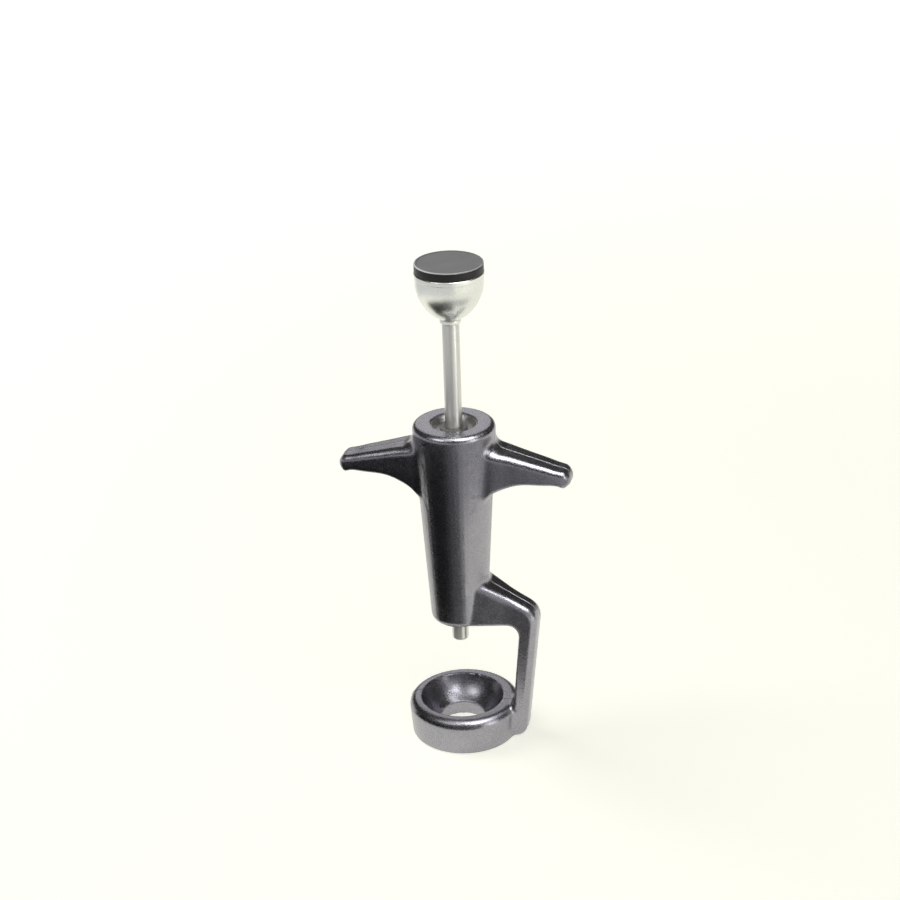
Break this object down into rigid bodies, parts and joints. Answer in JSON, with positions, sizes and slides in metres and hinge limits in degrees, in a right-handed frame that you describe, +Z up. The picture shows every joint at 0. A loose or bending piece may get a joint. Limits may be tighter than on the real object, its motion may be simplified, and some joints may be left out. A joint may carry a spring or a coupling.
{
  "type": "plunger fruit stoner",
  "caption": "Hand cherry and olive stoner: cast body with finger wings, spring-return plunger with push knob, and a cup on an arm.",
  "frame": {"origin": "on the plunger's axis, in the plane that the cup stands on", "axes": "+Z up along the plunger towards the knob; +X towards the arm, along the two finger wings; +Y away from the viewer of the picture"},
  "size_m": [0.0834, 0.0406, 0.183],
  "materials": {
    "cast_metal": "dark satin coat on cast metal, fine sand grain",
    "steel": "drawn stainless steel, fine lengthwise grain",
    "polished_metal": "polished",
    "plug_metal": "turned, dull",
    "cap_plastic": "dark grey moulded, fine grain",
    "bush_plastic": "moulded nylon",
    "stop_rubber": "moulded",
    "spring_steel": "drawn spring wire"
  },
  "bodies": {
    "frame": {"body_casting": "cast_metal", "barrel_plug": "plug_metal", "upper_guide_bush": "bush_plastic", "lower_guide_bush": "bush_plastic", "bumper_ring": "stop_rubber", "lower_spring_washer": "steel", "return_spring": "spring_steel"},
    "spring_seat": {"upper_spring_washer": "steel"},
    "plunger": {"plunger_rod": "steel", "retaining_clip": "spring_steel", "knob_collar": "polished_metal", "knob_bowl": "polished_metal", "knob_lock_washer": "spring_steel", "knob_nut": "steel", "knob_cap": "cap_plastic"}
  },
  "joints": [
    {"name": "plunger_press", "type": "slide", "parent": "frame", "child": "spring_seat", "axis": [0, 0, -1], "range_m": [0, 0.036], "stiffness_N_per_m": 350, "springref_m": -0.02, "deforming": ["return_spring"]},
    {"name": "plunger_spin", "type": "hinge", "parent": "spring_seat", "child": "plunger", "pos_m": [0, 0, 0.1], "axis": [0, 0, 1], "continuous": true}
  ]
}
